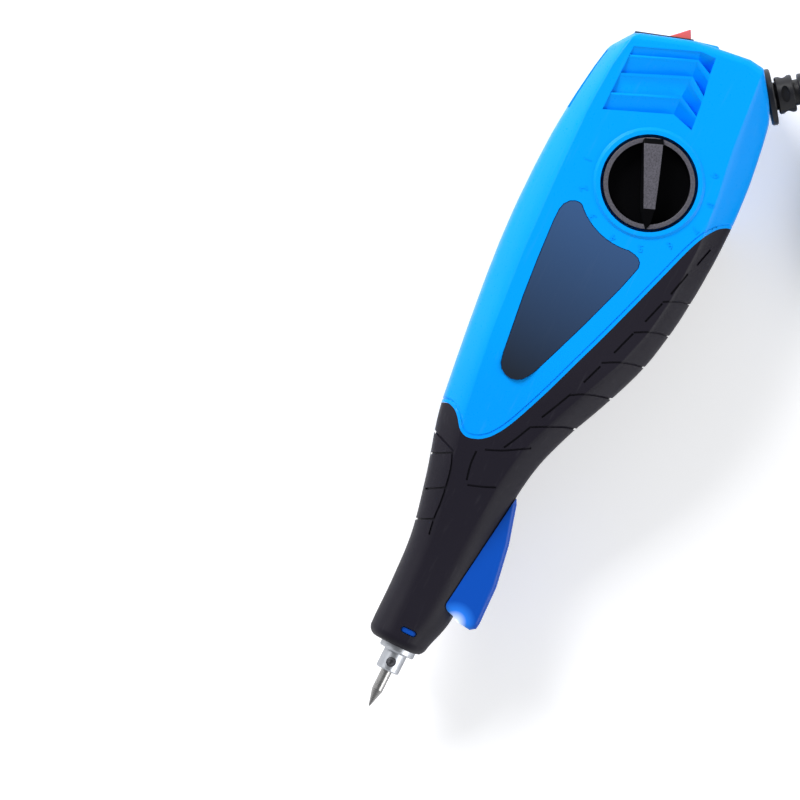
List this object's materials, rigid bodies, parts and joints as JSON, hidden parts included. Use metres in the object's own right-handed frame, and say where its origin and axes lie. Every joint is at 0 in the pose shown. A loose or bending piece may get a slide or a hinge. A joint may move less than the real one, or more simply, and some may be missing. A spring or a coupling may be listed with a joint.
{
  "type": "electric engraving pen",
  "caption": "Mains electric engraving pen with split blue shell, black grip, chuck and steel tip on a magnet-driven shaft, stroke dial, rocker switch and coiled cord.",
  "frame": {"origin": "middle of the pen's own box, without the free cord, on the surface that the pen lies on", "axes": "+X from the tip to the rear, +Y to the finger side, +Z out of the left side that carries the dial"},
  "size_m": [0.2258, 0.1513, 0.0395],
  "materials": {
    "blue_shell": "moulded blue plastic with a light satin gloss",
    "black_grip": "soft black overmoulded rubber",
    "label_gloss": "dark glossy plate, left bare",
    "dial_black": "dark grey moulded plastic",
    "nylon": "natural nylon",
    "steel": "bright turned steel",
    "iron": "plain iron",
    "aluminium": "turned aluminium",
    "bronze": "sintered bronze",
    "copper": "enamelled copper wire",
    "brass": "plain brass",
    "lamp_clear": "clear lamp lens",
    "board_green": "circuit board",
    "lead_red": "red wire cover",
    "lead_blue": "blue wire cover",
    "switch_black": "black moulded nylon",
    "red_rocker": "red moulded rocker",
    "cord_black": "black cord rubber"
  },
  "bodies": {
    "pen": {"shell_left": "blue_shell", "shell_right": "blue_shell", "grip_left": "black_grip", "grip_right": "black_grip", "name_plate": "label_gloss", "lamp_hood": "blue_shell", "lamp": "lamp_clear", "lamp_board": "board_green", "lamp_lead": "lead_blue", "nose_bush": "bronze", "return_spring": "steel", "buffer_spring": "steel", "yoke": "iron", "pole_piece": "iron", "bobbin": "nylon", "coil_winding": "copper", "rocker_switch": "switch_black", "switch_tab_1": "brass", "switch_tab_2": "brass", "lead_live": "lead_red", "lead_switched": "lead_red", "lead_neutral": "lead_blue", "strain_relief": "cord_black", "cord_end": "cord_black", "cord_clamp": "switch_black", "clamp_screw_1": "steel", "clamp_screw_2": "steel", "shell_screw_1": "steel", "shell_screw_2": "steel", "shell_screw_3": "steel", "shell_screw_4": "steel", "shell_screw_5": "steel", "shell_screw_6": "steel", "cord_run": "cord_black", "cord_coil": "cord_black", "cord_tail": "cord_black", "cord_tie": "switch_black", "plug_body": "cord_black", "plug_pin_1": "brass", "plug_pin_2": "brass"},
    "stylus": {"engraving_tip": "steel", "chuck": "aluminium", "set_screw": "iron", "stylus_shaft": "steel", "plunger": "iron"},
    "dial": {"stroke_dial": "dial_black", "scroll_cam": "nylon", "cam_screw": "steel"},
    "follower": {"dial_follower": "nylon"},
    "rocker": {"rocker_button": "red_rocker"}
  },
  "joints": [
    {"name": "stylus_stroke", "type": "slide", "parent": "pen", "child": "stylus", "axis": [-1, 0, 0], "range_m": [0, 0.0012], "stiffness_N_per_m": 1000, "deforming": ["return_spring", "buffer_spring"]},
    {"name": "dial_turn", "type": "hinge", "parent": "pen", "child": "dial", "pos_m": [0.04558, 0.01022, 0.037], "axis": [0, 0, 1], "range_deg": [-105, 131]},
    {"name": "follower_slide", "type": "slide", "parent": "pen", "child": "follower", "axis": [1, 0, 0], "range_m": [-0.0011, 0.00138], "deforming": ["buffer_spring"]},
    {"name": "rocker_tilt", "type": "hinge", "parent": "pen", "child": "rocker", "pos_m": [0.08092, 0.02319, 0.019], "axis": [0, 0, 1], "range_deg": [-20, 0]}
  ],
  "couplings": [
    {"joint": "follower_slide", "follows": "dial_turn", "m_per_rad": 0.0006}
  ]
}
